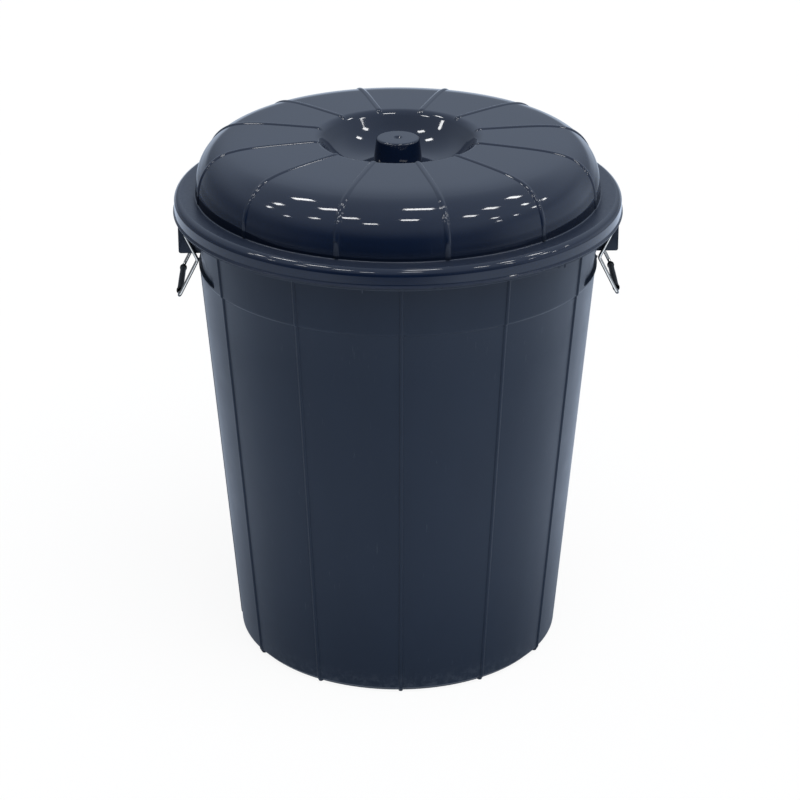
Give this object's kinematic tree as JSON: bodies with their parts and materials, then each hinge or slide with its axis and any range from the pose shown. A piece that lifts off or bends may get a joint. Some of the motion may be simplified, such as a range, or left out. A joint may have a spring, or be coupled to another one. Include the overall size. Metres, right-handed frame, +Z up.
{
  "type": "site bin",
  "caption": "Tapered round bin with fine upright ribs, a domed ribbed lift-off lid with a sunk knob, and swinging wire handles with plastic grips.",
  "frame": {"origin": "centre of the footprint, on the floor", "axes": "+Z up, front towards -Y, the handles at -X (left) and +X (right)"},
  "size_m": [0.47, 0.47, 0.5648],
  "materials": {
    "tub_plastic": "dark blue-grey moulded polypropylene, satin",
    "lid_plastic": "dark blue-grey moulded polypropylene, semi-gloss",
    "handle_wire": "bright zinc-plated round wire",
    "grip_plastic": "black moulded plastic, slightly shiny"
  },
  "bodies": {
    "tub": {"tub": "tub_plastic"},
    "lid": {"lid": "lid_plastic"},
    "left_handle": {"left_handle": "handle_wire"},
    "right_handle": {"right_handle": "handle_wire"},
    "left_grip": {"left_grip": "grip_plastic"},
    "right_grip": {"right_grip": "grip_plastic"}
  },
  "joints": [
    {"name": "lid_lift", "type": "slide", "parent": "tub", "child": "lid", "axis": [0, 0, 1], "range_m": [0, 0.08]},
    {"name": "left_handle_hinge", "type": "hinge", "parent": "tub", "child": "left_handle", "pos_m": [-0.2216, 0, 0.4718], "axis": [0, 1, 0], "range_deg": [-6, 162]},
    {"name": "right_handle_hinge", "type": "hinge", "parent": "tub", "child": "right_handle", "pos_m": [0.2216, 0, 0.4718], "axis": [0, -1, 0], "range_deg": [-6, 162]},
    {"name": "left_grip_spin", "type": "hinge", "parent": "left_handle", "child": "left_grip", "pos_m": [-0.2292, 0, 0.40331], "axis": [0, 1, 0], "continuous": true},
    {"name": "right_grip_spin", "type": "hinge", "parent": "right_handle", "child": "right_grip", "pos_m": [0.2292, 0, 0.40331], "axis": [0, 1, 0], "continuous": true}
  ]
}
